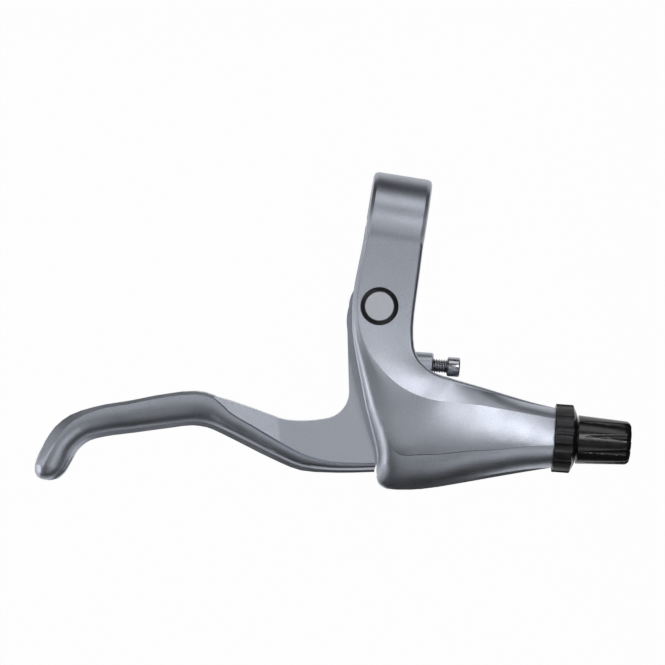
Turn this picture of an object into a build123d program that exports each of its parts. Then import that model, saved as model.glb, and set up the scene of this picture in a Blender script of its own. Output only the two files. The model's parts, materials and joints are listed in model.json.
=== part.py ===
"""Flat-bar bicycle brake lever, right hand, in millimetres.

The origin is the centre of the handlebar clamp. +X runs along the bar towards the cable
adjuster, +Y points from the lever towards the rider, and +Z is the upper face of the bracket.
The lever, its pivot, the cable and the adjuster all lie about the middle plane z = 0.
"""

import os
from collections import namedtuple
from math import ceil, cos, hypot, pi, radians, sin

from build123d import *

# Handlebar clamp
BAR_R = 11.1
RING_R = 14.1
RING_HALF_WIDTH = 8.2
RING_EDGE = 1.3
CLAMP_SLIT = 2.0
LUG_HALF_WIDTH = 6.5
LUG_DEPTH = 7.5
LUG_BOTTOM = -22.4
LUG_CORNER_R = 4.0
LUG_EDGE = 0.7
CLAMP_BOLT_Z = -17.2
CLAMP_BOLT_R = 2.95
CLAMP_HEAD_R = 5.0
CLAMP_HEAD_H = 6.0
CLAMP_HEAD_EDGE = 0.6
CLAMP_SOCKET = (5.0, 3.2)
CLAMP_WASHER_R = 5.2
CLAMP_WASHER_T = 0.9

# Lever pivot
PIVOT = (-1.08, -22.8)
PIN_R = 3.0
PIN_RUN = 0.03
PIN_HEAD_R = 4.2
PIN_HEAD_TOP = 12.25
PIN_HEAD_EDGE = 0.3
PIN_END = -11.4
PIN_GROOVE_R = 2.3
PIN_GROOVE = (-10.1, -9.35)
PIVOT_WASHER_R = 5.6
PIVOT_WASHER_T = 0.6
PIVOT_WASHER_Z = -8.9
CLIP_R = 5.0
CLIP_T = 0.6
CLIP_MOUTH = 3.6
CLIP_EYE_R = 0.7
CLIP_EYE_AT = (3.4, -0.4)
COUNTERBORE_R = 5.25
COUNTERBORE_FLOOR = 9.0
BUSH_R = 4.0
BUSH_FLANGE_R = 5.6
BUSH_FLANGE_T = 0.3
BUSH_INNER_END = 0.1

# Bracket fork
SLOT_HALF = 4.85
SLOT_CLEAR_R = 9.2
SLOT_CORNER_R = 3.0

# Cable adjuster: the barrel's end face, and the tilt of its axis from the bar
BARREL_END = (52.5, -51.14)
AXIS_TILT = 4.9
BARREL_R = 8.3
THREAD_R = 4.95
THREAD_BORE_R = 5.0
THREAD_DEPTH = 24.0
CABLE_SLOT = 2.2
CABLE_HOLE_R = 1.3
HOUSING_R = 3.05
HOUSING_DEPTH = 6.5
BOLT_INNER = -18.0
BOLT_OUTER = 20.6
BOLT_EDGE = 0.6
LOCK_RING_R = 9.5
LOCK_RING_START = 0.15
LOCK_RING_RIM = 4.7
LOCK_RING_T = 6.0
LOCK_RING_NOSE_R = 6.8
LOCK_RING_LOBES = 12
LOCK_RING_NOTCH_R = 2.2
LOCK_RING_NOTCH_AT = 11.15
GRIP_START = 6.65
GRIP_END = 21.4
GRIP_BASE_R = 6.8
GRIP_TIP_R = 6.0
GRIP_EDGE = 0.8
GRIP_FLUTES = 9
FLUTE_START = 1.2
FLUTE_DEPTH = 0.5
FLUTE_WIDTHS = (0.3, 2.0)

# Reach screw, parallel to the adjuster
REACH_POINT = (16.3, -36.6)
REACH_BOSS_R = 3.5
REACH_BOSS_EDGE = 0.4
REACH_SCREW_R = 2.0
REACH_BORE_R = 2.05
REACH_HEAD_R = 2.7
REACH_HEAD_H = 3.6
REACH_HEAD_CLEAR = 0.15
REACH_SHOWN = 3.9
REACH_HEAD_EDGE = 0.4
REACH_SOCKET = (2.0, 2.0)
REACH_BOSS_LENGTH = 11.0
REACH_TIP = -8.85
REACH_TIP_EDGE = 1.2
HEEL_GAP = 0.1

# Lever
WEB_HALF = 4.5
BOSS_R = 8.3
BLADE_HALF = 6.5
RAIL_HALF = 5.3
HOOK_PIN = (4.5, -55.2)
HOOK_PIN_R = 1.75
HOOK_HALF = 2.9
CLEVIS_HALF = 3.1
NIPPLE_SEAT = (12.5, -54.5)
NIPPLE_SEAT_R = 3.7
HOOK_EYE_R = 5.1
HOOK_BOSS_R = 3.3
RAMP_FALL = 0.1

AXIS_DIR = Vector(cos(radians(AXIS_TILT)), sin(radians(AXIS_TILT)), 0)
ACROSS = Vector(sin(radians(AXIS_TILT)), -cos(radians(AXIS_TILT)), 0)
BARREL = Plane(origin=(*BARREL_END, 0), x_dir=-ACROSS, z_dir=AXIS_DIR)
REACH = Plane(origin=(*REACH_POINT, 0), x_dir=-ACROSS, z_dir=AXIS_DIR)

# A cross-section of the bracket stands upright on the line from its inner to its outer edge.
# edge is the rounding of the inner edge; ridge and rim are distances along that line; z holds the
# heights at the inner edge, the ridge, the rim and the outer edge. Between ridge and rim the face
# rises by crown and rolls down over the last (reach, height) of roll, then drops by step. side and
# belly are the heights of the underside, bulge how far the upper and the lower face stand out.
Station = namedtuple("Station", "inner outer edge ridge rim z crown roll step inset side belly bulge")


def across_barrel(distance):
    """Point of the barrel's end face, a distance towards the front from its centre."""
    point = Vector(*BARREL_END, 0) + ACROSS * distance
    return (point.X, point.Y)


STATIONS = [
    Station((7, 1), (-7, 1), 1, 13.2, 13.5, (13.3, 13.3, 13.25, 12.6),
            0, (0.1, 0.03), 0.02, 0.2, -8.3, -8.5, (0.02, 0.1)),
    Station((8, -2), (-8, -2), 1.2, 14.9, 15.2, (13.72, 13.72, 13.66, 12.7),
            0, (0.1, 0.03), 0.02, 0.2, -8.3, -8.5, (0.02, 0.15)),
    Station((8.25, -5), (-8.3, -5), 1.2, 15.2, 15.6, (13.42, 13.42, 13.36, 12.4),
            0, (0.1, 0.03), 0.02, 0.2, -8.3, -8.5, (0.02, 0.15)),
    Station((8.4, -9), (-8.42, -9), 1.2, 15.4, 15.8, (13, 13, 12.94, 12),
            0, (0.1, 0.03), 0.02, 0.2, -8.3, -8.5, (0.02, 0.15)),
    Station((8.55, -14), (-8.62, -14), 1.2, 15.6, 16.1, (12.65, 12.65, 12.6, 11.7),
            0, (0.1, 0.03), 0.02, 0.2, -8.3, -8.5, (0.02, 0.15)),
    Station((8.7, -20.5), (-8.75, -20.5), 1.2, 15.8, 16.4, (12.4, 12.45, 12.33, 11.5),
            0, (0.1, 0.03), 0.02, 0.2, -8.3, -8.5, (0.02, 0.15)),
    Station((9.1, -27), (-7.95, -27.6), 1.2, 15.3, 16.2, (12.3, 12.75, 12.35, 11.4),
            0, (0.3, 0.1), 0.02, 0.2, -8.3, -8.5, (0.02, 0.15)),
    Station((10.2, -32.4), (-6.6, -33.3), 1.2, 13.8, 15.7, (12.3, 13, 12.45, 11.2),
            0.02, (0.6, 0.18), 0.02, 0.25, -8.3, -8.5, (0.02, 0.2)),
    Station((11.9, -35.3), (-4.65, -39.1), 1.2, 11.9, 15.1, (12.1, 13.1, 12.45, 10.8),
            0.05, (1, 0.25), 0.02, 0.3, -8.3, -8.5, (0.03, 0.25)),
    Station((14.3, -37.2), (-2.65, -44.5), 1.2, 10.7, 16, (11.6, 13.05, 12.2, 10.2),
            0.1, (1.6, 0.35), 0.02, 0.3, -8.3, -8.5, (0.05, 0.3)),
    Station((16.6, -38.3), (-0.35, -50.9), 1.1, 9.5, 18, (11, 12.8, 11.8, 9.3),
            0.2, (2.4, 0.5), 0.02, 0.4, -8.2, -8.5, (0.05, 0.35)),
    Station((18.8, -38.85), (2.7, -58.1), 1.1, 8.4, 20.8, (10.4, 12.3, 11.3, 8),
            0.3, (3, 0.6), 0.05, 0.6, -8.1, -8.5, (0.08, 0.45)),
    Station((20.6, -39.1), (4.75, -64), 1, 7.9, 23.9, (9.9, 11.75, 10.9, 6.8),
            0.55, (3.2, 0.8), 0.15, 0.9, -8, -8.5, (0.1, 0.6)),
    Station((21.7, -39.25), (5.45, -69.2), 1, 7.5, 25.2, (9.6, 11.4, 10.6, 5.8),
            0.8, (3.2, 1), 0.3, 1.1, -7.9, -8.5, (0.1, 0.8)),
    Station((22.6, -39.4), (6.5, -71.6), 1, 7.2, 25.4, (9.4, 11.15, 10.45, 5.5),
            0.9, (3.1, 1.15), 0.45, 1.2, -7.8, -8.5, (0.1, 0.85)),
    Station((23.4, -39.5), (8.7, -72.5), 0.9, 6.9, 24.6, (9.2, 10.95, 10.4, 5.5),
            0.95, (3.1, 1.25), 0.5, 1.2, -7.8, -8.5, (0.1, 0.85)),
    Station((24.4, -39.6), (12, -72.2), 0.9, 6.6, 23.2, (8.9, 10.7, 10.35, 5.5),
            1, (3, 1.3), 0.5, 1.2, -7.7, -8.5, (0.12, 0.85)),
    Station((26.5, -39.85), (18.4, -71), 0.9, 6, 21.2, (8.4, 10.3, 10.35, 5.4),
            1, (3, 1.2), 0.45, 1.2, -7.5, -8.5, (0.15, 0.85)),
    Station((31, -40.4), (27.3, -68.2), 0.8, 4.95, 18.1, (7.2, 9.6, 10.3, 5),
            0.95, (2.8, 0.8), 0.35, 1.2, -6.6, -8.5, (0.2, 0.85)),
    Station((38, -41.4), (37.2, -64.8), 0.6, 4, 15.1, (5, 8.6, 9.7, 4.2),
            1, (2.5, 0.5), 0.22, 1.1, -4.8, -8.45, (0.35, 0.95)),
    Station((45, -42.3), (46, -61.8), 0.4, 3.3, 12.1, (2.7, 7.4, 8.9, 3),
            1.1, (2, 0.1), 0.1, 0.8, -2.8, -8.4, (0.55, 1.25)),
    Station(across_barrel(-BARREL_R), across_barrel(BARREL_R), 0.1, 2.9, 10.1, (1, 6.3, 8.1, 1),
            1.05, (2.4, -0.2), 0.03, 0.06, -1, -BARREL_R, (0.7, 1.75)),
]
INNER_SLOPE = 0.08
FOOT_INSET = 0.5
CROWN_AT = 0.4
LEDGE = (0.15, 0.8)
EDGE_BULGE = 0.25


def flattened(values):
    """All numbers of a station, in order, as one list."""
    numbers = []
    for value in values:
        numbers += flattened(value) if isinstance(value, tuple) else [value]
    return numbers


def reshaped(numbers, pattern):
    """The same numbers in the nested form of a station."""
    shape = []
    for value in pattern:
        shape.append(reshaped(numbers, value) if isinstance(value, tuple) else numbers.pop(0))
    return tuple(shape)


def eased(stations, spacing):
    """Stations with more of them in between, on smooth curves through the given ones."""
    rows = [flattened(station) for station in stations]
    gaps = [hypot(*(b - a for a, b in zip(low[:4], high[:4]))) for low, high in zip(rows, rows[1:])]
    slopes = []
    for index in range(len(rows)):
        left, right = max(index - 1, 0), min(index + 1, len(rows) - 1)
        if left == index or right == index:
            span = gaps[left]
            slopes.append([(b - a) / span for a, b in zip(rows[left], rows[right])])
            continue
        before, after = gaps[left], gaps[index]
        slopes.append([
            ((b - a) / before * after + (c - b) / after * before) / (before + after)
            for a, b, c in zip(rows[left], rows[index], rows[right])
        ])
    dense = []
    for index, span in enumerate(gaps):
        steps = ceil(span / spacing)
        for step in range(steps):
            t = step / steps
            dense.append([
                (2 * t**3 - 3 * t**2 + 1) * a + (t**3 - 2 * t**2 + t) * span * da
                + (3 * t**2 - 2 * t**3) * b + (t**3 - t**2) * span * db
                for a, b, da, db in zip(rows[index], rows[index + 1], slopes[index], slopes[index + 1])
            ])
    dense.append(rows[-1])
    kind = type(stations[0])
    return [kind(*reshaped(list(row), stations[0])) for row in dense]


def lofted(wires):
    """Solid through the closed cross-sections, ruled from each one to the next."""
    return Solid.make_loft(wires, ruled=True)


def bulged(start, end, bulge):
    """Arc from start to end whose middle stands a bulge to the left of its chord."""
    length = hypot(end[0] - start[0], end[1] - start[1])
    middle = (
        (start[0] + end[0]) / 2 - (end[1] - start[1]) / length * bulge,
        (start[1] + end[1]) / 2 + (end[0] - start[0]) / length * bulge,
    )
    return ThreePointArc(start, middle, end)


def station_wire(station):
    """Closed cross-section of the bracket at one station."""
    inner = Vector(*station.inner, 0)
    line = Vector(*station.outer, 0) - inner
    width = line.length
    direction = line.normalized()
    plane = Plane(origin=inner, x_dir=direction, z_dir=direction.cross(Vector(0, 0, 1)))
    z_inner, z_ridge, z_rim, z_outer = station.z
    edge, inset, reach = station.edge, station.inset, station.roll[0]
    wall = (INNER_SLOPE, z_inner - edge)
    start = (edge, z_inner)
    ridge = (station.ridge, z_ridge)
    crown = (station.ridge + CROWN_AT * (station.rim - station.ridge), z_ridge + station.crown)
    roll = (station.rim - reach, z_rim + station.roll[1])
    rim = (station.rim, z_rim)
    foot = (station.rim + station.step / 2, z_rim - station.step)
    brow = (width - inset, z_outer)
    ledge = (width - LEDGE[0] * inset, z_outer - LEDGE[1] * inset)
    front, low_front, low_back = (width, 0), (width - FOOT_INSET, station.side), (FOOT_INSET, station.side)
    edges = [
        Line((0, 0), wall),
        bulged(wall, start, EDGE_BULGE * edge),
        bulged(start, ridge, station.bulge[0]),
        Bezier(ridge, crown, roll, rim),
        Line(rim, foot),
        bulged(foot, brow, station.bulge[1]),
        Line(brow, ledge),
        Line(ledge, front),
        Line(front, low_front),
        ThreePointArc(low_front, (width / 2, station.belly), low_back),
        Line(low_back, (0, 0)),
    ]
    return Wire([plane.from_local_coords(edge) for edge in edges])


def clamp_ring():
    """Ring round the handlebar, with the two lugs of its clamp bolt below it."""
    arc = RING_EDGE * (1 - sin(pi / 4))
    edge = [
        (RING_HALF_WIDTH, RING_R - RING_EDGE), (RING_HALF_WIDTH - arc, RING_R - arc),
        (RING_HALF_WIDTH - RING_EDGE, RING_R),
    ]
    profile = [(RING_HALF_WIDTH, 0), *edge, *[(-x, z) for x, z in reversed(edge)], (-RING_HALF_WIDTH, 0)]
    ring = revolve(Plane.XZ * make_face(Polyline(*profile, close=True)), Axis.X)
    lug = Box(2 * LUG_HALF_WIDTH, 2 * LUG_DEPTH, 12, align=(Align.CENTER, Align.CENTER, Align.MIN))
    lug = fillet(lug.edges().filter_by(Axis.Y).sort_by(Axis.Z)[:2], LUG_CORNER_R)
    lug = chamfer(lug.edges().sort_by(Axis.Z)[:5], LUG_EDGE)
    return ring + Pos(0, 0, LUG_BOTTOM) * lug


def reach_boss():
    """Round boss behind the neck that the reach screw passes through."""
    boss = Cylinder(REACH_BOSS_R, REACH_BOSS_LENGTH, align=(Align.CENTER, Align.CENTER, Align.MAX))
    boss = chamfer(boss.edges().sort_by(Axis.Z)[-1], REACH_BOSS_EDGE)
    return REACH * boss


def fork_space():
    """Space between the two ears, open to the left, that the lever swings in."""
    x, y = PIVOT
    outline = [
        (x - 14, y), (15, y), (15, y - 6.6), (8.7, y - 7.8), (8.7, y - 19.8), (13, y - 20.8),
        (19.5, y - 23), (19.5, -66.9), (12, -69.1), (x - 14, -69.1),
    ]
    plan = Pos(x, y) * Circle(SLOT_CLEAR_R) + make_face(Polyline(*outline, close=True))
    space = extrude(plan, amount=SLOT_HALF, both=True)
    return fillet(space.edges().filter_by(Axis.Z).group_by(Axis.X)[-1], SLOT_CORNER_R)


def cable_way(start, end, reach):
    """Slot for the cable in the middle plane, from the adjuster's axis out to the front."""
    return BARREL * Pos(-reach / 2, 0, (start + end) / 2) * Box(reach, CABLE_SLOT, end - start)


def bracket():
    """Cast bracket: clamp ring, forked neck, faceted body and adjuster barrel in one piece."""
    body = lofted([station_wire(station) for station in eased(STATIONS, 6.5)])
    body = clamp_ring() + body + reach_boss()
    body -= Plane.YZ * Cylinder(BAR_R, 40)
    body -= Pos(0, 0, -18) * Box(30, CLAMP_SLIT, 18)
    body -= Pos(0, 0, CLAMP_BOLT_Z) * Rot(90, 0, 0) * Cylinder(CLAMP_BOLT_R + 0.05, 30)
    body -= fork_space()
    body -= Pos(*PIVOT) * Cylinder(PIN_R + PIN_RUN, 60)
    body -= Pos(*PIVOT, COUNTERBORE_FLOOR) * Cylinder(
        COUNTERBORE_R, 10, align=(Align.CENTER, Align.CENTER, Align.MIN)
    )
    body -= BARREL * Pos(0, 0, -THREAD_DEPTH) * Cylinder(
        THREAD_BORE_R, 60, align=(Align.CENTER, Align.CENTER, Align.MIN)
    )
    body -= cable_way(-40, 5, 30)
    body -= REACH * Cylinder(REACH_BORE_R, 60)
    body -= REACH * Cylinder(REACH_HEAD_R + REACH_HEAD_CLEAR, 12,
                             align=(Align.CENTER, Align.CENTER, Align.MIN))
    return body


def hex_socket(across_flats, depth):
    """Hexagonal recess, opening at z = 0 and reaching down."""
    return extrude(RegularPolygon(across_flats / 2, 6, major_radius=False), amount=-depth)


def clamp_bolt():
    """M6 socket screw of the clamp, its head at the front."""
    shank = Cylinder(CLAMP_BOLT_R, 2 * LUG_DEPTH + CLAMP_WASHER_T,
                     align=(Align.CENTER, Align.CENTER, Align.MAX))
    head = Cylinder(CLAMP_HEAD_R, CLAMP_HEAD_H, align=(Align.CENTER, Align.CENTER, Align.MIN))
    head = chamfer(head.edges().sort_by(Axis.Z)[-1], CLAMP_HEAD_EDGE)
    screw = shank + head - Pos(0, 0, CLAMP_HEAD_H) * hex_socket(*CLAMP_SOCKET)
    return Pos(0, -LUG_DEPTH - CLAMP_WASHER_T, CLAMP_BOLT_Z) * Rot(90, 0, 0) * screw


def clamp_washer():
    """Washer between the clamp bolt's head and the front lug."""
    ring = Cylinder(CLAMP_WASHER_R, CLAMP_WASHER_T) - Cylinder(CLAMP_BOLT_R + 0.2, 5)
    return Pos(0, -LUG_DEPTH - CLAMP_WASHER_T / 2, CLAMP_BOLT_Z) * Rot(90, 0, 0) * ring


def pivot_pin():
    """Headed pin; its flat head sits in the counterbore of the upper ear."""
    low, high = PIN_GROOVE
    seat = COUNTERBORE_FLOOR + 0.05
    profile = Polyline(
        (0, PIN_END), (PIN_R, PIN_END), (PIN_R, low), (PIN_GROOVE_R, low), (PIN_GROOVE_R, high),
        (PIN_R, high), (PIN_R, seat), (PIN_HEAD_R, seat), (PIN_HEAD_R, PIN_HEAD_TOP - PIN_HEAD_EDGE),
        (PIN_HEAD_R - PIN_HEAD_EDGE, PIN_HEAD_TOP), (0, PIN_HEAD_TOP), close=True,
    )
    return Pos(*PIVOT) * revolve(Plane.XZ * make_face(profile), Axis.Z)


def pivot_washer():
    """Washer under the lower ear."""
    ring = Cylinder(PIVOT_WASHER_R, PIVOT_WASHER_T) - Cylinder(PIN_R + 0.1, 2)
    return Pos(*PIVOT, PIVOT_WASHER_Z) * ring


def pivot_clip():
    """Retaining clip pushed into the pin's groove from the side."""
    clip = Cylinder(CLIP_R, CLIP_T) - Cylinder(PIN_GROOVE_R + 0.05, 2)
    clip -= Pos(0, CLIP_R, 0) * Box(CLIP_MOUTH, 2 * CLIP_R, 2)
    for side in (-1, 1):
        clip -= Pos(side * CLIP_EYE_AT[0], CLIP_EYE_AT[1], 0) * Cylinder(CLIP_EYE_R, 2)
    return Pos(*PIVOT, sum(PIN_GROOVE) / 2) * clip


def pivot_bush(side):
    """Flanged bush in the lever's boss, above (1) or below (-1) the middle plane."""
    profile = Polyline(
        (PIN_R + PIN_RUN, BUSH_INNER_END), (BUSH_R, BUSH_INNER_END), (BUSH_R, WEB_HALF),
        (BUSH_FLANGE_R, WEB_HALF),
        (BUSH_FLANGE_R, WEB_HALF + BUSH_FLANGE_T), (PIN_R + PIN_RUN, WEB_HALF + BUSH_FLANGE_T),
        close=True,
    )
    bush = revolve(Plane.XZ * make_face(profile), Axis.Z)
    if side < 0:
        bush = mirror(bush, about=Plane.XY)
    return Pos(*PIVOT) * bush


# A cross-section of the blade: rear and front edge in plan, height of its top half, and the
# width of the bevel between its rear face and its top.
BladeStation = namedtuple("BladeStation", "rear front half corner")
BLADE_RIM = 1.1
BLADE_RIM_SHARE = 0.2
BEVEL_LEAST = 0.45
BEVEL_SLOPE = 0.5
BLADE = [
    BladeStation((-87.0, -84.85), (-83.9, -85.1), 1.6, 0.7),
    BladeStation((-88.1, -83.2), (-81.2, -83.95), 3.9, 1.6),
    BladeStation((-88.4, -81.2), (-79.6, -81.8), 4.9, 2.4),
    BladeStation((-87.8, -78), (-78.6, -79), 5.5, 3),
    BladeStation((-86.4, -74.2), (-77.8, -76.3), 6.0, 3),
    BladeStation((-84.2, -69.7), (-76.5, -74.2), 6.3, 2.5),
    BladeStation((-80.6, -65.9), (-74.4, -72.2), BLADE_HALF, 1.9),
    BladeStation((-75.2, -63.0), (-70.9, -70.6), BLADE_HALF, 1.2),
    BladeStation((-65.2, -59.5), (-62.3, -68.0), BLADE_HALF, 0.9),
    BladeStation((-55.1, -55.9), (-52.3, -65.0), BLADE_HALF, 0.9),
    BladeStation((-47.6, -54.0), (-46.9, -63.5), BLADE_HALF, 0.9),
    BladeStation((-42.2, -54.4), (-43.0, -63.4), 6.4, 0.8),
    BladeStation((-37.4, -57.7), (-40.2, -64.0), 6.2, 0.6),
    BladeStation((-30.5, -60.7), (-32.8, -66.3), 5.8, 0.5),
    BladeStation((-22.6, -63.9), (-24.3, -69.0), 5.45, 0.5),
    BladeStation((-14.6, -66.5), (-15.2, -71.1), RAIL_HALF, 0.5),
    BladeStation((-8, -67.2), (-7.8, -70.5), 5.2, 0.5),
    BladeStation((-1, -66.5), (-0.7, -69.4), 5.1, 0.4),
    BladeStation((4.6, -65.6), (4.9, -68.3), 5.0, 0.4),
]


def blade_wire(station):
    """Cross-section with a flat rear face and a front that falls away in a long curve."""
    rear = Vector(*station.rear, 0)
    line = Vector(*station.front, 0) - rear
    width, half, corner = line.length, station.half, station.corner
    direction = line.normalized()
    plane = Plane(origin=rear, x_dir=direction, z_dir=direction.cross(Vector(0, 0, 1)))
    depth = BEVEL_LEAST + BEVEL_SLOPE * corner
    rim = min(BLADE_RIM, BLADE_RIM_SHARE * width)
    back, top = (0, half - depth), (corner, half)
    fall = [(0.55 * width, 0.97 * half), (width - rim - 0.12 * width, 0.75 * half)]
    lip = (width - rim, 0.42 * half)
    front = (width, 0.34 * half)
    low_back, low_top, low_lip, low_front = [(across, -z) for across, z in (back, top, lip, front)]
    low_fall = [(across, -z) for across, z in reversed(fall)]
    edges = [
        Line(low_back, back),
        Line(back, top),
        Bezier(top, *fall, lip),
        Line(lip, front),
        Line(front, low_front),
        Line(low_front, low_lip),
        Bezier(low_lip, *low_fall, low_top),
        Line(low_top, low_back),
    ]
    return Wire([plane.from_local_coords(edge) for edge in edges])


def web():
    """Flat root of the lever: boss, neck, clevis cheeks and the web behind the front rail."""
    rear_edge = (
        ThreePointArc((-8.7, -21.5), (-9.45, -25.7), (-8.7, -30.6))
        + Line((-8.7, -30.6), (-5.65, -46.8))
        + ThreePointArc((-5.65, -46.8), (-6.3, -52.2), (-9.8, -55.5))
        + ThreePointArc((-9.8, -55.5), (-15, -57.1), (-20.5, -57.9))
        + ThreePointArc((-20.5, -57.9), (-23.3, -57.8), (-26.2, -57.2))
        + Line((-26.2, -57.2), (-37.8, -55.1))
    )
    front = Polyline(
        (-37.8, -55.1), (-38, -61), (-24, -66.8), (-12, -69.3), (-4, -68.6), (4.9, -67.2),
        (5.8, -62), (7.6, -57.6), (8.3, -55.2), (7, -52.3), (5.3, -49.5), (7.45, -44),
        (7.45, -22.8), (-8.7, -21.5),
    )
    plan = make_face(rear_edge + front) + Pos(*PIVOT) * Circle(BOSS_R)
    return extrude(plan, amount=WEB_HALF, both=True)


def ramp():
    """Light facet that runs down from the blade's top to the web, on both faces."""
    plan = make_face(Polyline(
        (-42.2, -54.6), (-37.8, -55.1), (-32, -56.1), (-24.4, -57.55), (-20.9, -65.8),
        (-24.3, -66.2), (-33, -62.4), (-41.5, -57.5), close=True,
    ))
    wedge = extrude(plan, amount=BLADE_HALF, both=True)
    foot = Vector(-22.65, -61.7, WEB_HALF)
    fall = Vector(0.92, 0.39, 0).normalized()
    slope = (fall + Vector(0, 0, -RAMP_FALL)).normalized()
    up = slope.cross(Vector(-fall.Y, fall.X, 0))
    top = Plane(origin=foot, x_dir=slope, z_dir=up)
    cutter = top * Box(80, 80, 20, align=(Align.CENTER, Align.CENTER, Align.MIN))
    wedge -= cutter
    return wedge - mirror(cutter, about=Plane.XY)


def heel_cut():
    """Trims the lever square to the reach screw, a small gap in front of the screw's tip."""
    return REACH * Pos(0, 0, REACH_TIP - HEEL_GAP) * Box(
        6, 20, 10, align=(Align.CENTER, Align.CENTER, Align.MIN)
    )


def lever_blade():
    """Cast lever: finger blade with a bent tip, front rail, web, boss and clevis."""
    lever = lofted([blade_wire(station) for station in eased(BLADE, 5)])
    lever = web() + lever + ramp()
    lever -= heel_cut()
    lever -= Pos(*PIVOT) * Cylinder(BUSH_R, 20)
    x, y = HOOK_PIN
    lever -= Pos(x - 4.2, y - 8, 0) * Box(
        20, 19, 2 * CLEVIS_HALF, align=(Align.MIN, Align.MIN, Align.CENTER)
    )
    lever -= Pos(x, y) * Cylinder(HOOK_PIN_R, 20)
    return lever


def hook_pin():
    """Plain pin across the clevis."""
    return Pos(*HOOK_PIN) * Cylinder(HOOK_PIN_R, 2 * WEB_HALF - 0.1)


def cable_hook():
    """Swivelling hook with the round seat for the cable's barrel end and a slot for the cable."""
    pin, seat = Vector(*HOOK_PIN), Vector(*NIPPLE_SEAT)
    plan = make_hull(
        (Pos(*HOOK_PIN) * Circle(HOOK_BOSS_R)).edges() + (Pos(*NIPPLE_SEAT) * Circle(HOOK_EYE_R)).edges()
    )
    hook = extrude(plan, amount=HOOK_HALF, both=True)
    hook -= Pos(pin.X, pin.Y) * Cylinder(HOOK_PIN_R + 0.05, 20)
    hook -= Pos(seat.X, seat.Y) * Cylinder(NIPPLE_SEAT_R, 20)
    hook -= Pos(seat.X, seat.Y) * Box(20, 2 * CABLE_HOLE_R, CABLE_SLOT,
                                      align=(Align.MIN, Align.CENTER, Align.CENTER))
    return hook


def reach_screw():
    """M4 screw with a round tip inside and a socket head outside."""
    shank = Cylinder(REACH_SCREW_R, REACH_SHOWN - REACH_TIP,
                     align=(Align.CENTER, Align.CENTER, Align.MIN))
    shank = chamfer(shank.edges().sort_by(Axis.Z)[0], REACH_TIP_EDGE)
    head = Cylinder(REACH_HEAD_R, REACH_HEAD_H, align=(Align.CENTER, Align.CENTER, Align.MIN))
    head = chamfer(head.edges().filter_by(GeomType.CIRCLE), REACH_HEAD_EDGE)
    screw = Pos(0, 0, REACH_TIP) * shank + Pos(0, 0, REACH_SHOWN) * head
    return REACH * (screw - Pos(0, 0, REACH_SHOWN + REACH_HEAD_H) * hex_socket(*REACH_SOCKET))


def adjuster_bolt():
    """Hollow M10 bolt: cable hole, housing socket at its outer end, and the cable's slot."""
    bolt = Pos(0, 0, BOLT_INNER) * Cylinder(
        THREAD_R, BOLT_OUTER - BOLT_INNER, align=(Align.CENTER, Align.CENTER, Align.MIN)
    )
    bolt = chamfer(bolt.edges().sort_by(Axis.Z)[0], BOLT_EDGE)
    bolt -= Cylinder(CABLE_HOLE_R, 80)
    bolt -= Pos(0, 0, BOLT_OUTER - HOUSING_DEPTH) * Cylinder(
        HOUSING_R, 20, align=(Align.CENTER, Align.CENTER, Align.MIN)
    )
    return BARREL * bolt - cable_way(BOLT_INNER - 1, BOLT_OUTER + 1, 8)


def adjuster_grip():
    """Moulded grip on the bolt, fluted by narrow wedges that widen towards its end."""
    length = GRIP_END - GRIP_START
    grip = Cone(GRIP_BASE_R, GRIP_TIP_R, length, align=(Align.CENTER, Align.CENTER, Align.MIN))
    grip = chamfer(grip.edges().filter_by(GeomType.CIRCLE).sort_by(Axis.Z)[-1], GRIP_EDGE)
    start, end = Vector(GRIP_BASE_R, 0, FLUTE_START), Vector(GRIP_TIP_R - FLUTE_DEPTH, 0, length)
    along = end - start
    floor = Plane(origin=start, x_dir=along, z_dir=Vector(0, 1, 0).cross(along))
    narrow, wide = FLUTE_WIDTHS[0] / 2, FLUTE_WIDTHS[1] / 2
    plan = Polyline((0, -narrow), (2 * along.length, narrow - 2 * wide),
                    (2 * along.length, 2 * wide - narrow), (0, narrow), close=True)
    wedge = extrude(floor * make_face(plan), amount=3)
    for flute in range(GRIP_FLUTES):
        grip -= Rot(0, 0, (flute + 0.5) * 360 / GRIP_FLUTES) * wedge
    grip = Pos(0, 0, GRIP_START) * grip
    grip -= Cylinder(THREAD_BORE_R, 2 * BOLT_OUTER)
    grip -= Cylinder(HOUSING_R + 0.3, 60)
    return BARREL * grip - cable_way(GRIP_START - 1, GRIP_END + 1, 8)


def lock_ring():
    """Lobed ring on the bolt that locks the adjuster against the barrel."""
    profile = Polyline(
        (THREAD_BORE_R + 0.05, 0), (LOCK_RING_R, 0), (LOCK_RING_R, LOCK_RING_RIM),
        (LOCK_RING_NOSE_R, LOCK_RING_T), (THREAD_BORE_R + 0.05, LOCK_RING_T), close=True,
    )
    ring = revolve(Plane.XZ * make_face(profile), Axis.Z)
    notch = Pos(LOCK_RING_NOTCH_AT, 0, 0) * Cylinder(LOCK_RING_NOTCH_R, 2 * LOCK_RING_T)
    for lobe in range(LOCK_RING_LOBES):
        ring -= Rot(0, 0, (lobe + 0.5) * 360 / LOCK_RING_LOBES) * notch
    ring = BARREL * Pos(0, 0, LOCK_RING_START) * ring
    return ring - cable_way(LOCK_RING_START - 1, LOCK_RING_T + 1, 12)


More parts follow.
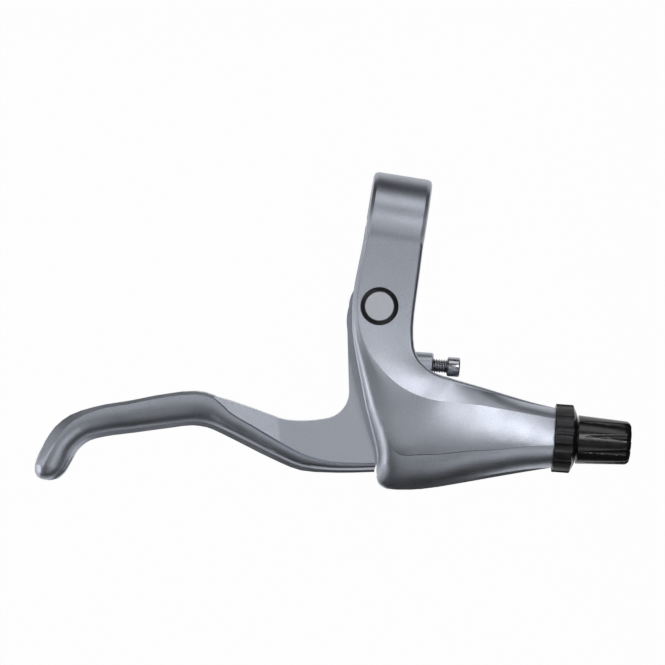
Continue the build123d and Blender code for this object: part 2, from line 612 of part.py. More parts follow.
def main():
    """Build every piece and write one file for each."""
    pieces = {
        "bracket": bracket(),
        "clamp_bolt": clamp_bolt(),
        "clamp_washer": clamp_washer(),
        "pivot_pin": pivot_pin(),
        "pivot_washer": pivot_washer(),
        "pivot_clip": pivot_clip(),
        "lever_blade": lever_blade(),
        "pivot_bush_upper": pivot_bush(1),
        "pivot_bush_lower": pivot_bush(-1),
        "hook_pin": hook_pin(),
        "cable_hook": cable_hook(),
        "reach_screw": reach_screw(),
        "adjuster_bolt": adjuster_bolt(),
        "adjuster_grip": adjuster_grip(),
        "lock_ring": lock_ring(),
    }
    os.makedirs("parts", exist_ok=True)
    for name, piece in pieces.items():
        export_step(piece, f"parts/{name}.step")


main()
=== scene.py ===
"""Looks of the bicycle brake lever: finishes, threaded screws, camera and studio light.

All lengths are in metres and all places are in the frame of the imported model: the origin is the
centre of the handlebar clamp, +X runs along the handlebar, +Y points to the rider, +Z faces the camera.
"""

import json
import logging
import math
from dataclasses import dataclass
from enum import Enum

import bmesh
import bpy
from mathutils import Matrix, Vector


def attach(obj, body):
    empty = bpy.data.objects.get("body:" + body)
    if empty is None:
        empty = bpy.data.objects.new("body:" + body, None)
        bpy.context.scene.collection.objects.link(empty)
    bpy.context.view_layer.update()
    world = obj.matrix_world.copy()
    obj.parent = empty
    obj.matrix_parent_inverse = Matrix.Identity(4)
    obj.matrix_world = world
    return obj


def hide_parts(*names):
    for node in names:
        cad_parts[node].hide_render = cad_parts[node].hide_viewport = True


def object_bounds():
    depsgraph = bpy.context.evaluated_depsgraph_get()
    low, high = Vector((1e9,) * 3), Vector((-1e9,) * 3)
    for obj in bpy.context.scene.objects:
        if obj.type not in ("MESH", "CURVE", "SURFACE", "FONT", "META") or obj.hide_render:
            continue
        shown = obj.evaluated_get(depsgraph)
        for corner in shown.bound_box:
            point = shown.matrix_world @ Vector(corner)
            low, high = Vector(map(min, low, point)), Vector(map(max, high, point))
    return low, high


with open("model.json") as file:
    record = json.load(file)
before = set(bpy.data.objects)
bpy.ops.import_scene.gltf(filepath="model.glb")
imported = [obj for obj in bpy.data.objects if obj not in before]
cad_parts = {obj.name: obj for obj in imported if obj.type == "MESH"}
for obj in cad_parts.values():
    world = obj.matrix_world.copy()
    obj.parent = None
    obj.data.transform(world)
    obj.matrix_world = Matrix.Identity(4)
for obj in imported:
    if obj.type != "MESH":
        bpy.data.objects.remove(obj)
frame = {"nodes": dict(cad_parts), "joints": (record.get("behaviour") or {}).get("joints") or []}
CAD_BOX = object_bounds()

log = logging.getLogger("brake_lever")

MM = 0.001
JOINED = 0.002 * MM
NOISE_LOW, NOISE_HIGH = 0.3, 0.7
SHADING_WEIGHT = 60


class Head(Enum):
    """How the side of a screw's head is finished."""

    PLAIN = "plain"
    KNURLED = "knurled"


@dataclass(frozen=True)
class Axle:
    """A round node's own axis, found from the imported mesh: its two ends and its radius."""

    start: Vector
    direction: Vector
    length: float
    radius: float

    @staticmethod
    def of_node(name: str, direction: Vector) -> "Axle":
        """Measure a node along a known direction.

        Args:
            name: The CAD node, a body of revolution.
            direction: The direction of its axis.

        Returns:
            The axis from the end that lies lowest along the direction.
        """
        along = direction.normalized()
        side = along.orthogonal().normalized()
        basis = Matrix((along, side, along.cross(side)))
        places = [basis @ vertex.co for vertex in frame["nodes"][name].data.vertices]
        low = [min(place[axis] for place in places) for axis in range(3)]
        high = [max(place[axis] for place in places) for axis in range(3)]
        start = Vector((low[0], (low[1] + high[1]) / 2, (low[2] + high[2]) / 2))
        return Axle(basis.inverted() @ start, along, high[0] - low[0], (high[1] - low[1]) / 2)

    def matrix(self) -> Matrix:
        """Place whose local z runs along the axis from its start."""
        return Matrix.Translation(self.start) @ self.direction.to_track_quat("Z", "Y").to_matrix().to_4x4()


class Surface:
    """A material under construction: its shader, and short ways to add textures to it."""

    def __init__(self, name: str, **sockets: object) -> None:
        """Start a material.

        Args:
            name: The material's name.
            **sockets: Values for the shader's sockets, with spaces written as underscores.
        """
        self.material = bpy.data.materials.new(name)
        self.material.use_nodes = True
        self.nodes = self.material.node_tree.nodes
        self.links = self.material.node_tree.links
        self.shader = self.nodes["Principled BSDF"]
        for socket, value in sockets.items():
            self.shader.inputs[socket.replace("_", " ")].default_value = value
        self.place = self.nodes.new("ShaderNodeTexCoord").outputs["Object"]

    def noise(self, size: float, detail: float = 2.0) -> bpy.types.NodeSocket:
        """Noise with features of about a given size.

        Args:
            size: Size of one feature, in metres.
            detail: How many finer layers it has.

        Returns:
            The noise's value, from 0 to 1.
        """
        node = self.nodes.new("ShaderNodeTexNoise")
        node.inputs["Scale"].default_value = 1 / size
        node.inputs["Detail"].default_value = detail
        self.links.new(self.place, node.inputs["Vector"])
        return node.outputs["Fac"]

    def between(self, value: bpy.types.NodeSocket, low: float, high: float) -> bpy.types.NodeSocket:
        """The value spread over a range.

        Args:
            value: A value from 0 to 1.
            low: Result for a low value.
            high: Result for a high value.

        Returns:
            The spread value.
        """
        node = self.nodes.new("ShaderNodeMapRange")
        node.inputs["From Min"].default_value = NOISE_LOW
        node.inputs["From Max"].default_value = NOISE_HIGH
        node.inputs["To Min"].default_value = low
        node.inputs["To Max"].default_value = high
        self.links.new(value, node.inputs["Value"])
        return node.outputs["Result"]

    def tinted(self, value: bpy.types.NodeSocket, low: tuple, high: tuple) -> None:
        """Let the base colour vary between two colours.

        Args:
            value: The value that picks between them.
            low: Colour for a low value.
            high: Colour for a high value.
        """
        node = self.nodes.new("ShaderNodeValToRGB")
        node.color_ramp.elements[0].position = NOISE_LOW
        node.color_ramp.elements[0].color = (*low, 1)
        node.color_ramp.elements[1].position = NOISE_HIGH
        node.color_ramp.elements[1].color = (*high, 1)
        self.links.new(value, node.inputs["Fac"])
        self.links.new(node.outputs["Color"], self.shader.inputs["Base Color"])

    def roughened(self, value: bpy.types.NodeSocket) -> None:
        """Let the roughness follow a value."""
        self.links.new(value, self.shader.inputs["Roughness"])

    def raised(self, height: bpy.types.NodeSocket, depth: float, strength: float = 1.0) -> None:
        """Let a value stand up from the surface.

        Args:
            height: The value from 0 to 1.
            depth: Height of the whole range, in metres.
            strength: Share of the effect.
        """
        node = self.nodes.new("ShaderNodeBump")
        node.inputs["Distance"].default_value = depth
        node.inputs["Strength"].default_value = strength
        self.links.new(height, node.inputs["Height"])
        self.links.new(node.outputs["Normal"], self.shader.inputs["Normal"])


@dataclass(frozen=True)
class SatinLacquer:
    """Silver-grey metallic lacquer over a casting, with a very fine grain."""

    name: str = "satin_silver_lacquer"
    light: tuple = (0.46, 0.487, 0.553)
    dark: tuple = (0.365, 0.387, 0.44)
    smooth: float = 0.37
    rough: float = 0.45
    flake: float = 0.3 * MM
    grain: float = 0.12 * MM
    grain_depth: float = 0.004 * MM

    def material(self) -> bpy.types.Material:
        """Build the finish."""
        surface = Surface(self.name, Metallic=1.0, Coat_Weight=0.12, Coat_Roughness=0.3)
        surface.tinted(surface.noise(self.flake, 3), self.dark, self.light)
        surface.roughened(surface.between(surface.noise(9 * MM, 4), self.smooth, self.rough))
        surface.raised(surface.noise(self.grain), self.grain_depth)
        return surface.material


@dataclass(frozen=True)
class TurnedSteel:
    """Plated steel with faint tool marks."""

    name: str
    light: tuple = (0.56, 0.56, 0.57)
    dark: tuple = (0.46, 0.46, 0.48)
    smooth: float = 0.24
    rough: float = 0.34
    marks: float = 0.4 * MM
    mark_depth: float = 0.003 * MM

    def material(self) -> bpy.types.Material:
        """Build the finish."""
        surface = Surface(self.name, Metallic=1.0)
        surface.tinted(surface.noise(2 * MM, 3), self.dark, self.light)
        surface.roughened(surface.between(surface.noise(1.5 * MM, 3), self.smooth, self.rough))
        surface.raised(surface.noise(self.marks), self.mark_depth)
        return surface.material


@dataclass(frozen=True)
class MouldedPlastic:
    """Black moulded plastic, from glossy to matt by its roughness."""

    name: str
    colour: tuple = (0.012, 0.012, 0.013)
    smooth: float = 0.16
    rough: float = 0.26
    ripple: float = 0.8 * MM
    ripple_depth: float = 0.006 * MM

    def material(self) -> bpy.types.Material:
        """Build the finish."""
        surface = Surface(self.name, Base_Color=(*self.colour, 1), IOR=1.5)
        surface.roughened(surface.between(surface.noise(3 * MM, 3), self.smooth, self.rough))
        surface.raised(surface.noise(self.ripple), self.ripple_depth)
        return surface.material


@dataclass(frozen=True)
class BlackAnodised:
    """Black anodised aluminium, slightly grey where it catches the light."""

    name: str = "black_anodised"
    light: tuple = (0.03, 0.03, 0.033)
    dark: tuple = (0.014, 0.014, 0.016)
    smooth: float = 0.28
    rough: float = 0.4
    grain: float = 0.25 * MM
    grain_depth: float = 0.004 * MM

    def material(self) -> bpy.types.Material:
        """Build the finish."""
        surface = Surface(self.name, Metallic=0.55, Specular_IOR_Level=0.6)
        surface.tinted(surface.noise(1.2 * MM, 3), self.dark, self.light)
        surface.roughened(surface.between(surface.noise(2 * MM, 3), self.smooth, self.rough))
        surface.raised(surface.noise(self.grain), self.grain_depth)
        return surface.material


def linked(name: str, data: bpy.types.ID) -> bpy.types.Object:
    """Make an object and put it in the scene.

    Args:
        name: The object's name.
        data: Its mesh, lamp or camera.

    Returns:
        The object.
    """
    thing = bpy.data.objects.new(name, data)
    bpy.context.scene.collection.objects.link(thing)
    return thing


def drop_packed_normals(mesh: bpy.types.Mesh) -> None:
    """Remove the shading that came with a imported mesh."""
    if "custom_normal" in mesh.attributes:
        mesh.attributes.remove(mesh.attributes["custom_normal"])


def split_creases(piece: bpy.types.Object, angle: float) -> None:
    """Keep the edges sharp that turn by more than an angle.

    Args:
        piece: The piece.
        angle: The angle, in degrees.
    """
    split = piece.modifiers.new("creases", "EDGE_SPLIT")
    split.split_angle = math.radians(angle)


def even_shading(piece: bpy.types.Object) -> None:
    """Let the larger faces rule how a piece is shaded."""
    weigh = piece.modifiers.new("even_shading", "WEIGHTED_NORMAL")
    weigh.mode = "FACE_AREA"
    weigh.weight = SHADING_WEIGHT


def dress(name: str, material: bpy.types.Material, crease: float = 24.0) -> None:
    """Give a CAD node its finish and smooth shading with sharp creases.

    Args:
        name: The CAD node.
        material: Its finish.
        crease: Edges that turn by more than this many degrees stay sharp.
    """
    node = frame["nodes"][name]
    mesh = node.data
    drop_packed_normals(mesh)
    mesh.materials.clear()
    mesh.materials.append(material)
    mesh.shade_smooth()
    node.modifiers.new("joined_faces", "WELD").merge_threshold = JOINED
    split_creases(node, crease)
    node.modifiers["creases"].use_edge_sharp = False
    even_shading(node)
    log.info("dressed %s", name)


@dataclass(frozen=True)
class SoftSpot:
    """A place, seen from above, where the casting's corners are rounded off."""

    centre: tuple
    radius: float
    rounds: int = 16

    def weight(self, point: Vector) -> float:
        """How far a point takes part, from 1 near the centre to 0 at the radius."""
        return min(1.0, max(0.0, 2 - 2 * (point.xy - Vector(self.centre)).length / self.radius))


@dataclass(frozen=True)
class CreaseZone:
    """A box in which slighter edges count as creases."""

    low: tuple
    high: tuple
    angle: float

    def holds(self, point: Vector) -> bool:
        """Whether a point lies in the box."""
        return all(low <= value <= high for low, value, high in zip(self.low, point, self.high))


@dataclass(frozen=True)
class CastPiece:
    """A finished copy of a CAD casting, with joined faces, rounded spots and its own creases."""

    node: str
    body: str
    crease: float
    spots: tuple = ()
    zones: tuple = ()
    spacing: float = 0.6 * MM
    most_splits: int = 5
    step: float = 0.5

    def refine(self, work: bmesh.types.BMesh, spot: SoftSpot) -> None:
        """Split the long edges of a spot, so that it can be rounded.

        Args:
            work: The casting.
            spot: The spot.
        """
        for _ in range(self.most_splits):
            coarse = [
                edge for edge in work.edges
                if edge.calc_length() > self.spacing
                and any(spot.weight(vertex.co) > 0 for vertex in edge.verts)
            ]
            if not coarse:
                return
            bmesh.ops.subdivide_edges(work, edges=coarse, cuts=1)
            bmesh.ops.triangulate(work, faces=[face for face in work.faces if len(face.verts) > 3])

    def round_off(self, work: bmesh.types.BMesh, spot: SoftSpot) -> None:
        """Even out a spot's vertices step by step.

        Args:
            work: The casting.
            spot: The spot.
        """
        moving = [(vertex, spot.weight(vertex.co)) for vertex in work.verts if spot.weight(vertex.co) > 0]
        for _ in range(spot.rounds):
            goals = []
            for vertex, _ in moving:
                around = [edge.other_vert(vertex).co for edge in vertex.link_edges]
                goals.append(sum(around, Vector()) / len(around))
            for (vertex, weight), goal in zip(moving, goals):
                vertex.co = vertex.co.lerp(goal, self.step * weight)

    def mark_creases(self, work: bmesh.types.BMesh) -> None:
        """Mark as sharp each edge that turns by more than its place allows.

        Args:
            work: The casting.
        """
        for edge in work.edges:
            if len(edge.link_faces) == 2:
                middle = (edge.verts[0].co + edge.verts[1].co) / 2
                limit = min([self.crease] + [zone.angle for zone in self.zones if zone.holds(middle)])
                edge.smooth = edge.calc_face_angle(0) <= math.radians(limit)

    def build(self, *finishes: bpy.types.Material) -> bpy.types.Object:
        """Build the copy in place of its CAD node.

        Args:
            *finishes: Its finish, and any others for faces that are picked out later.

        Returns:
            The casting, which stands for the node.
        """
        work = bmesh.new()
        work.from_mesh(frame["nodes"][self.node].data)
        bmesh.ops.remove_doubles(work, verts=work.verts, dist=JOINED)
        for spot in self.spots:
            self.refine(work, spot)
            self.round_off(work, spot)
        for face in work.faces:
            face.smooth = True
        self.mark_creases(work)
        mesh = bpy.data.meshes.new(self.node + "_cast")
        work.to_mesh(mesh)
        work.free()
        drop_packed_normals(mesh)
        mesh.materials.clear()
        for finish in finishes:
            mesh.materials.append(finish)
        piece = linked(self.node + "_cast", mesh)
        piece.modifiers.new("creases", "EDGE_SPLIT").use_edge_angle = False
        even_shading(piece)
        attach(piece, self.body)
        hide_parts(self.node)
        log.info("built %s with %d faces", piece.name, len(mesh.polygons))
        return piece


@dataclass
class ThreadedScrew:
    """A screw with a real helical thread and a hexagon socket, in place of a plain CAD one."""

    node: str
    body: str
    direction: Vector
    thread_radius: float
    pitch: float
    head_height: float
    socket_flats: float
    socket_depth: float
    head: Head = Head.PLAIN
    segments: int = 48
    edge: float = 0.5 * MM
    tip_chamfer: float = 1.0 * MM
    thread_depth: float = 0.61
    flank: float = 1.25
    rib_root: float = 0.965
    rings_per_turn: int = 8
    run_in: int = 12
    run_out: int = 3
    face: float = 0.97
    drill_point: float = 0.3
    crease: float = 35.0

    def ring(self, radius: float, height: float) -> list[Vector]:
        """One round ring of points.

        Args:
            radius: The ring's radius.
            height: Its place along the screw.

        Returns:
            The points, once round.
        """
        return [
            Vector((radius * math.cos(turn), radius * math.sin(turn), height))
            for turn in (2 * math.pi * step / self.segments for step in range(self.segments))
        ]

    def thread_ring(self, height: float, depth: float) -> list[Vector]:
        """One ring of the thread, deeper where the groove passes.

        Args:
            height: Its place along the screw.
            depth: Depth of the groove here.

        Returns:
            The points, once round.
        """
        points = []
        for step in range(self.segments):
            turn = 2 * math.pi * step / self.segments
            phase = (height / self.pitch - step / self.segments) % 1.0
            groove = min(1.0, self.flank * (1 - abs(2 * phase - 1)))
            radius = self.thread_radius - depth * groove
            points.append(Vector((radius * math.cos(turn), radius * math.sin(turn), height)))
        return points

    def head_ring(self, radius: float, height: float) -> list[Vector]:
        """One ring of the head's side, with ribs if it is knurled.

        Args:
            radius: The head's radius.
            height: Its place along the screw.

        Returns:
            The points, once round.
        """
        points = self.ring(radius, height)
        if self.head is Head.KNURLED:
            for point in points[::2]:
                point.xy *= self.rib_root
        return points

    def socket_ring(self, height: float) -> list[Vector]:
        """One ring of the hexagon socket's wall.

        Args:
            height: Its place along the screw.

        Returns:
            The points, once round.
        """
        points = []
        for step in range(self.segments):
            turn = 2 * math.pi * step / self.segments
            off_flat = (turn + math.pi / 6) % (math.pi / 3) - math.pi / 6
            off_corner = off_flat - math.copysign(math.pi / 6, off_flat)
            radius = self.socket_flats / 2 / math.cos(off_corner)
            points.append(Vector((radius * math.cos(turn), radius * math.sin(turn), height)))
        return points

    def rings(self, length: float, head_radius: float) -> list[list[Vector]]:
        """All rings from the tip to the bottom of the socket.

        Args:
            length: Length of the whole screw.
            head_radius: Radius of its head.

        Returns:
            The rings, in order along the surface.
        """
        depth = self.thread_depth * self.pitch
        neck = length - self.head_height
        rings = [self.ring(self.thread_radius - self.tip_chamfer, 0)]
        steps = round((neck - self.tip_chamfer) / self.pitch * self.rings_per_turn)
        for step in range(steps + 1):
            height = self.tip_chamfer + (neck - self.tip_chamfer) * step / steps
            fade = min(1.0, step / self.run_in, (steps - step) / self.run_out)
            rings.append(self.thread_ring(height, depth * fade))
        corner = [(math.sin(angle), math.cos(angle)) for angle in (0, 0.39, 0.79, 1.18, math.pi / 2)]
        inner = head_radius - self.edge
        for sine, cosine in corner:
            rings.append(self.head_ring(inner + self.edge * sine, neck + self.edge * (1 - cosine)))
        for sine, cosine in reversed(corner):
            rings.append(self.head_ring(inner + self.edge * sine, length - self.edge * (1 - cosine)))
        rings.append(self.ring(inner * self.face, length))
        rings.append(self.socket_ring(length))
        rings.append(self.socket_ring(length - self.socket_depth))
        return rings

    def build(self, material: bpy.types.Material) -> bpy.types.Object:
        """Build the screw where its CAD node is.

        Args:
            material: Its finish.

        Returns:
            The screw, which stands for the node.
        """
        axle = Axle.of_node(self.node, self.direction)
        rings = self.rings(axle.length, axle.radius)
        work = bmesh.new()
        loops = [[work.verts.new(point) for point in ring] for ring in rings]
        work.faces.new(reversed(loops[0]))
        for low, high in zip(loops, loops[1:]):
            for step in range(self.segments):
                after = (step + 1) % self.segments
                work.faces.new((low[step], low[after], high[after], high[step]))
        bottom = axle.length - self.socket_depth - self.drill_point * self.socket_flats
        floor = work.verts.new(Vector((0, 0, bottom)))
        for step in range(self.segments):
            work.faces.new((loops[-1][step], loops[-1][(step + 1) % self.segments], floor))
        work.transform(axle.matrix())
        bmesh.ops.recalc_face_normals(work, faces=work.faces)
        mesh = bpy.data.meshes.new(self.node + "_threaded")
        work.to_mesh(mesh)
        work.free()
        mesh.shade_smooth()
        mesh.materials.append(material)
        screw = linked(self.node + "_threaded", mesh)
        split_creases(screw, self.crease)
        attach(screw, self.body)
        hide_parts(self.node)
        log.info("built %s with a %.2f mm pitch", self.node, self.pitch / MM)
        return screw


@dataclass
class Bracket:
    """The cast bracket with its clamp screw."""

    finish: SatinLacquer
    casting: CastPiece = CastPiece(
        node="bracket", body="bracket", crease=10,
        spots=(SoftSpot((6.2 * MM, -69.8 * MM), 5 * MM),),
        zones=(CreaseZone((-6 * MM, -49 * MM, 8 * MM), (56 * MM, -32 * MM, 14 * MM), 5.5),),
    )
    pivot: tuple = (-1.08 * MM, -22.8 * MM)
    recess_radius: float = 5.25 * MM
    recess_top: float = 12.3 * MM
    clamp_pitch: float = 1.0 * MM
    clamp_thread_radius: float = 2.95 * MM
    clamp_head: float = 6.0 * MM
    clamp_socket: float = 5.0 * MM
    clamp_socket_depth: float = 3.2 * MM
    # Painted shade: a nearly black lacquer that stands in for the shadow inside the counterbore round the
    # pivot pin.
    recess_shade: SatinLacquer = SatinLacquer("painted_shade_recess", (0.1, 0.1, 0.11), (0.07, 0.07, 0.08), 0.5, 0.65)

    def build(self, steel: bpy.types.Material) -> None:
        """Dress the casting and build the clamp's screw.

        Args:
            steel: Finish of the screw and its washer.
        """
        self.paint_recess_shade(self.casting.build(self.finish.material(), self.recess_shade.material()).data)
        dress("clamp_washer", steel)
        ThreadedScrew(
            node="clamp_bolt", body="bracket", direction=Vector((0, -1, 0)),
            thread_radius=self.clamp_thread_radius, pitch=self.clamp_pitch,
            head_height=self.clamp_head, socket_flats=self.clamp_socket,
            socket_depth=self.clamp_socket_depth, head=Head.KNURLED,
        ).build(steel)

    def paint_recess_shade(self, mesh: bpy.types.Mesh) -> None:
        """Paint shade into the counterbore round the pivot pin with the second, nearly black finish.

        Args:
            mesh: The casting's mesh.
        """
        for face in mesh.polygons:
            off = face.center.xy - Vector(self.pivot)
            if off.length < self.recess_radius and face.center.z < self.recess_top:
                # painted shade: faces inside the counterbore take the nearly black finish
                face.material_index = 1


@dataclass
class Lever:
    """The finger lever with its bushes, the pivot pin and the cable's hook."""

    finish: SatinLacquer
    casting: CastPiece = CastPiece(
        node="lever_blade", body="lever", crease=17,
        spots=(SoftSpot((-84.3 * MM, -82.0 * MM), 8 * MM),),
    )

    def build(self, steel: bpy.types.Material, pin: bpy.types.Material, bush: bpy.types.Material) -> None:
        """Dress the lever and what moves with it.

        Args:
            steel: Finish of the small steel pieces.
            pin: Finish of the pivot pin.
            bush: Finish of the bushes.
        """
        self.casting.build(self.finish.material())
        dress("pivot_pin", pin)
        for name in ("pivot_washer", "pivot_clip", "hook_pin", "cable_hook"):
            dress(name, steel)
        for name in ("pivot_bush_upper", "pivot_bush_lower"):
            dress(name, bush)


@dataclass
class ReachScrew:
    """The small screw that sets the lever's rest position."""

    pitch: float = 0.7 * MM
    thread_radius: float = 2.0 * MM
    head: float = 3.6 * MM
    socket: float = 2.0 * MM
    socket_depth: float = 2.0 * MM

    def build(self, steel: bpy.types.Material) -> None:
        """Build the screw with its thread.

        Args:
            steel: Its finish.
        """
        travel = next(joint for joint in frame["joints"] if joint["name"] == "reach_screw_travel")
        ThreadedScrew(
            node="reach_screw", body="reach_screw", direction=-Vector(travel["axis"]),
            thread_radius=self.thread_radius, pitch=self.pitch, head_height=self.head,
            socket_flats=self.socket, socket_depth=self.socket_depth,
        ).build(steel)


@dataclass
class FlutedGrip:
    """The moulded grip: a tapering sleeve with a rounded end, wedge-shaped flutes and the cable's slot."""

    node: str = "adjuster_grip"
    joint: str = "adjuster_turn"
    start: float = 6.65 * MM
    end: float = 21.38 * MM
    base_radius: float = 6.78 * MM
    tip_radius: float = 6.0 * MM
    end_rounding: float = 1.5 * MM
    bore: float = 5.0 * MM
    bolt_end: float = 20.6 * MM
    mouth: float = 3.35 * MM
    slot: float = 2.2 * MM
    flutes: int = 9
    first_flute: float = 79.0
    flute_depth: float = 0.9 * MM
    flute_width: float = 1.9 * MM
    flute_start: float = 0.07
    steep_share: float = 0.25
    root_share: float = 0.15
    crease: float = 26.0
    segments: int = 240
    steps: int = 16

    def fluted(self, turn: float, radius: float, share: float) -> float:
        """Radius of the outside where the flutes cut into it.

        Args:
            turn: Angle round the grip, in degrees.
            radius: Radius without flutes.
            share: Place along the grip, from 0 to 1.

        Returns:
            The radius with the flutes.
        """
        growth = max(0.0, (share - self.flute_start) / (1 - self.flute_start))
        pitch = 360 / self.flutes
        off = ((turn - self.first_flute + pitch / 2) % pitch - pitch / 2) * math.pi / 180 * radius
        width = (self.root_share + (1 - self.root_share) * growth) * self.flute_width
        side = self.steep_share if off > 0 else 1 - self.steep_share
        cut = max(0.0, 1 - abs(off) / (width * side))
        return radius - self.flute_depth * growth * cut

    def arc(self, radius: float, height: float, share: float | None) -> list[Vector]:
        """Points round the grip from one wall of the slot to the other.

        Args:
            radius: Radius of the arc.
            height: Place along the axis.
            share: Place along the grip for the flutes, or None for a plain arc.

        Returns:
            The points.
        """
        gap = math.degrees(math.asin(self.slot / 2 / radius))
        points = []
        for step in range(self.segments + 1):
            turn = 180 + gap + (360 - 2 * gap) * step / self.segments
            reach = radius if share is None else self.fluted(turn, radius, share)
            angle = math.radians(turn)
            points.append(Vector((reach * math.cos(angle), reach * math.sin(angle), height)))
        return points

    def profile(self) -> list[tuple[float, float, float]]:
        """The grip's section along its axis.

        Returns:
            Heights with the outer and the inner radius, from the base to the rounded end.
        """
        rows = []
        straight = self.end - self.end_rounding
        taper = (self.tip_radius - self.base_radius) / (self.end - self.start)
        for step in range(self.steps + 1):
            height = self.start + (straight - self.start) * step / self.steps
            rows.append((height, self.base_radius + taper * (height - self.start), self.bore))
        for angle in (0.3, 0.6, 0.9, 1.2, math.pi / 2):
            height = straight + self.end_rounding * math.sin(angle)
            outer = self.base_radius + taper * (height - self.start)
            outer -= self.end_rounding * (1 - math.cos(angle))
            rows.append((height, outer, self.bore if height < self.bolt_end else self.mouth))
        return rows

    def build(self, material: bpy.types.Material) -> None:
        """Build the grip in place of its CAD node.

        Args:
            material: Its finish.
        """
        turn = next(joint for joint in frame["joints"] if joint["name"] == self.joint)
        along = Vector(turn["axis"]).normalized()
        side = Vector((0, 0, 1)).cross(along)
        place = Matrix((side, along.cross(side), along)).transposed().to_4x4()
        place.translation = Vector(turn["pos_m"])
        work = bmesh.new()
        sections = []
        for height, outer, inner in self.profile():
            share = (height - self.start) / (self.end - self.start)
            points = self.arc(outer, height, share) + self.arc(inner, height, None)[::-1]
            sections.append([work.verts.new(point) for point in points])
        count = len(sections[0])
        for low, high in zip(sections, sections[1:]):
            for step in range(count):
                after = (step + 1) % count
                work.faces.new((low[step], low[after], high[after], high[step]))
        for ring in (sections[0], sections[-1]):
            for step in range(self.segments):
                across = (ring[count - 2 - step], ring[count - 1 - step])
                work.faces.new((ring[step], ring[step + 1], *across))
        work.transform(place)
        bmesh.ops.recalc_face_normals(work, faces=work.faces)
        mesh = bpy.data.meshes.new(self.node + "_fluted")
        work.to_mesh(mesh)
        work.free()
        mesh.shade_smooth()
        mesh.materials.append(material)
        grip = linked(self.node + "_fluted", mesh)
        split_creases(grip, self.crease)
        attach(grip, self.node)
        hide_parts(self.node)
        log.info("built the fluted grip")


@dataclass
class CableAdjuster:
    """The hollow bolt, the lobed lock ring and the moulded grip."""

    crease: float = 30.0

    def build(self, metal: bpy.types.Material, plastic: bpy.types.Material) -> None:
        """Dress the three pieces.

        Args:
            metal: Finish of the bolt and the ring.
            plastic: Finish of the grip.
        """
        dress("adjuster_bolt", metal, self.crease)
        dress("lock_ring", metal, self.crease)
        FlutedGrip().build(plastic)


@dataclass(frozen=True)
class Softbox:
    """A rectangular lamp that faces the object, with the brightness of its face."""

    name: str
    place: tuple
    size: tuple
    brightness: float

    def build(self, target: Vector) -> None:
        """Hang the lamp.

        Args:
            target: The point it faces.
        """
        lamp = bpy.data.lights.new(self.name, "AREA")
        lamp.shape = "RECTANGLE"
        lamp.size, lamp.size_y = self.size
        lamp.energy = self.brightness * math.pi * self.size[0] * self.size[1]
        holder = linked(self.name, lamp)
        holder.location = self.place
        holder.rotation_euler = (target - holder.location).to_track_quat("-Z", "Y").to_euler()
        log.info("hung %s", self.name)


@dataclass(frozen=True)
class BlackCard:
    """A black card that stands just outside the picture and gives the metal its dark edges."""

    name: str
    side: float
    out: float = 96 * MM
    length: float = 230 * MM
    height: float = 55 * MM
    black: tuple = (0.004, 0.004, 0.004, 1)

    def build(self, centre: Vector, turn: float, floor: float) -> None:
        """Stand the card on the floor.

        Args:
            centre: The middle of the picture.
            turn: Angle of the camera's right side, in radians.
            floor: Height of the floor.
        """
        away = turn + math.radians(self.side)
        middle = centre + self.out * Vector((math.cos(away), math.sin(away), 0))
        along = self.length / 2 * Vector((-math.sin(away), math.cos(away), 0))
        feet = [Vector((*(middle + end * along).xy, floor)) for end in (-1, 1)]
        top = Vector((0, 0, self.height))
        mesh = bpy.data.meshes.new(self.name)
        mesh.from_pydata([feet[0], feet[1], feet[1] + top, feet[0] + top], [], [(0, 1, 2, 3)])
        mesh.materials.append(Surface("black_card", Base_Color=self.black, Roughness=1.0).material)
        card = linked(self.name, mesh)
        card.visible_camera = False


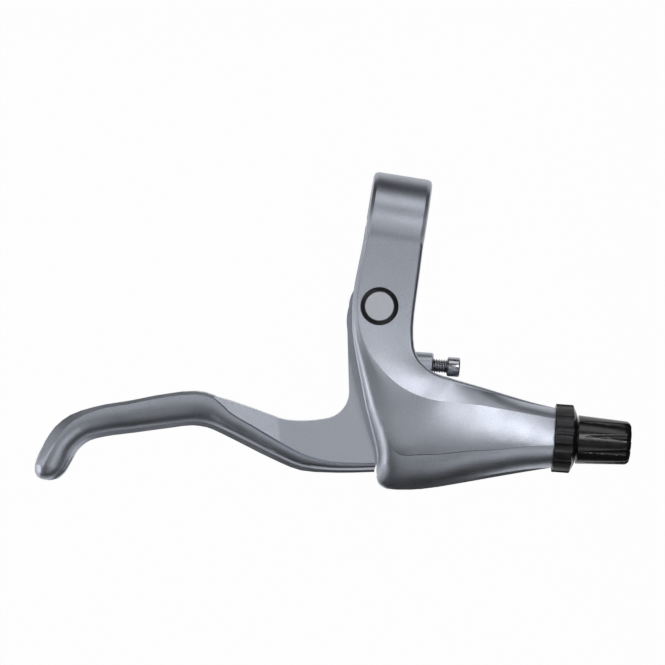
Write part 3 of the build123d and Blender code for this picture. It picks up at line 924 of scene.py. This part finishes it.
@dataclass
class Studio:
    """Camera straight above the object, a pale floor, soft lamps and a dim room."""

    view_width: float = 184.7 * MM
    view_centre: tuple = (-12.66 * MM, -31.96 * MM)
    view_turn: float = 9.1
    distance: float = 1.0
    room: float = 0.08
    floor_size: float = 3.0
    floor_grey: float = 0.3
    floor_glow: float = 0.985
    floor_gap: float = 0.2 * MM
    floor_roughness: float = 0.9
    far_clip: float = 10.0
    lamps: tuple = (
        Softbox("right_softbox", (0.35, 0.31, 1.03), (0.4, 0.45), 5.3),
        Softbox("top_softbox", (-0.15, -0.17, 1.13), (0.8, 0.45), 0.9),
        Softbox("rear_softbox", (-0.01, 0.96, 0.57), (0.9, 0.6), 1.5),
        Softbox("left_softbox", (-0.89, -0.03, 0.74), (0.7, 0.5), 1.3),
        Softbox("front_softbox", (0.61, -0.66, 0.74), (0.7, 0.5), 1.4),
        Softbox("low_left_softbox", (-0.93, -0.67, 0.28), (1.1, 0.4), 3.0),
    )
    cards: tuple = (BlackCard("right_card", 0), BlackCard("rear_card", 90), BlackCard("front_card", -90))

    def camera(self) -> None:
        """Place the camera so that the object fills the frame as in the photograph."""
        data = bpy.data.cameras.new("camera")
        data.lens = data.sensor_width * self.distance / self.view_width
        data.clip_end = self.far_clip
        holder = linked("camera", data)
        holder.location = (*self.view_centre, self.distance)
        holder.rotation_euler = (0, 0, math.radians(self.view_turn))
        bpy.context.scene.camera = holder

    def floor_height(self) -> float:
        """Height of the floor, just under the object's lowest point."""
        return CAD_BOX[0].z - self.floor_gap

    def floor_material(self) -> bpy.types.Material:
        """Make the floor's surface, which camera, glossy and transmission rays see as pale.

        Returns:
            The material.
        """
        grey = self.floor_grey
        surface = Surface("pale_floor", Base_Color=(grey, grey, grey, 1), Roughness=self.floor_roughness)
        glow = surface.nodes.new("ShaderNodeEmission")
        rays = surface.nodes.new("ShaderNodeLightPath")
        blend = surface.nodes.new("ShaderNodeMixShader")
        seen = rays.outputs["Is Camera Ray"]
        for kind in ("Is Glossy Ray", "Is Transmission Ray"):
            either = surface.nodes.new("ShaderNodeMath")
            either.operation = "MAXIMUM"
            surface.links.new(seen, either.inputs[0])
            surface.links.new(rays.outputs[kind], either.inputs[1])
            seen = either.outputs["Value"]
        share = surface.nodes.new("ShaderNodeMath")
        share.operation = "MULTIPLY"
        share.inputs[1].default_value = self.floor_glow
        surface.links.new(seen, share.inputs[0])
        surface.links.new(share.outputs["Value"], blend.inputs["Fac"])
        surface.links.new(surface.shader.outputs["BSDF"], blend.inputs[1])
        surface.links.new(glow.outputs["Emission"], blend.inputs[2])
        surface.links.new(blend.outputs["Shader"], surface.nodes["Material Output"].inputs["Surface"])
        return surface.material

    def floor(self) -> None:
        """Lay the pale floor."""
        half, height = self.floor_size / 2, self.floor_height()
        mesh = bpy.data.meshes.new("floor")
        corners = [(x * half, y * half, height) for x, y in ((-1, -1), (1, -1), (1, 1), (-1, 1))]
        mesh.from_pydata(corners, [], [(0, 1, 2, 3)])
        mesh.materials.append(self.floor_material())
        floor = linked("floor", mesh)

    def light(self) -> None:
        """Hang the lamps and set the room's own light."""
        target = Vector((*self.view_centre, 0))
        for lamp in self.lamps:
            lamp.build(target)
        for card in self.cards:
            card.build(target, math.radians(self.view_turn), self.floor_height())
        world = bpy.data.worlds.new("room")
        world.use_nodes = True
        background = world.node_tree.nodes["Background"]
        background.inputs["Color"].default_value = (1, 1, 1, 1)
        background.inputs["Strength"].default_value = self.room
        bpy.context.scene.world = world

    def build(self) -> None:
        """Set up the whole studio."""
        bpy.context.scene.view_settings.view_transform = "Standard"
        self.camera()
        self.floor()
        self.light()


def main() -> None:
    """Build the looks in order."""
    logging.basicConfig(level=logging.INFO, format="%(message)s")
    Studio().build()
    lacquer = SatinLacquer()
    steel = TurnedSteel("turned_steel").material()
    screw = TurnedSteel(
        "dull_steel", light=(0.42, 0.43, 0.46), dark=(0.28, 0.29, 0.31), smooth=0.2, rough=0.3
    )
    pin = SatinLacquer("satin_pin", (0.53, 0.55, 0.6), (0.47, 0.49, 0.53), 0.34, 0.4).material()
    bush = MouldedPlastic("bush_plastic", colour=(0.03, 0.03, 0.03), smooth=0.5, rough=0.6).material()
    Bracket(lacquer).build(steel)
    Lever(lacquer).build(steel, pin, bush)
    ReachScrew().build(screw.material())
    CableAdjuster().build(BlackAnodised().material(), MouldedPlastic("gloss_black_plastic").material())


if __name__ == "__main__":
    main()
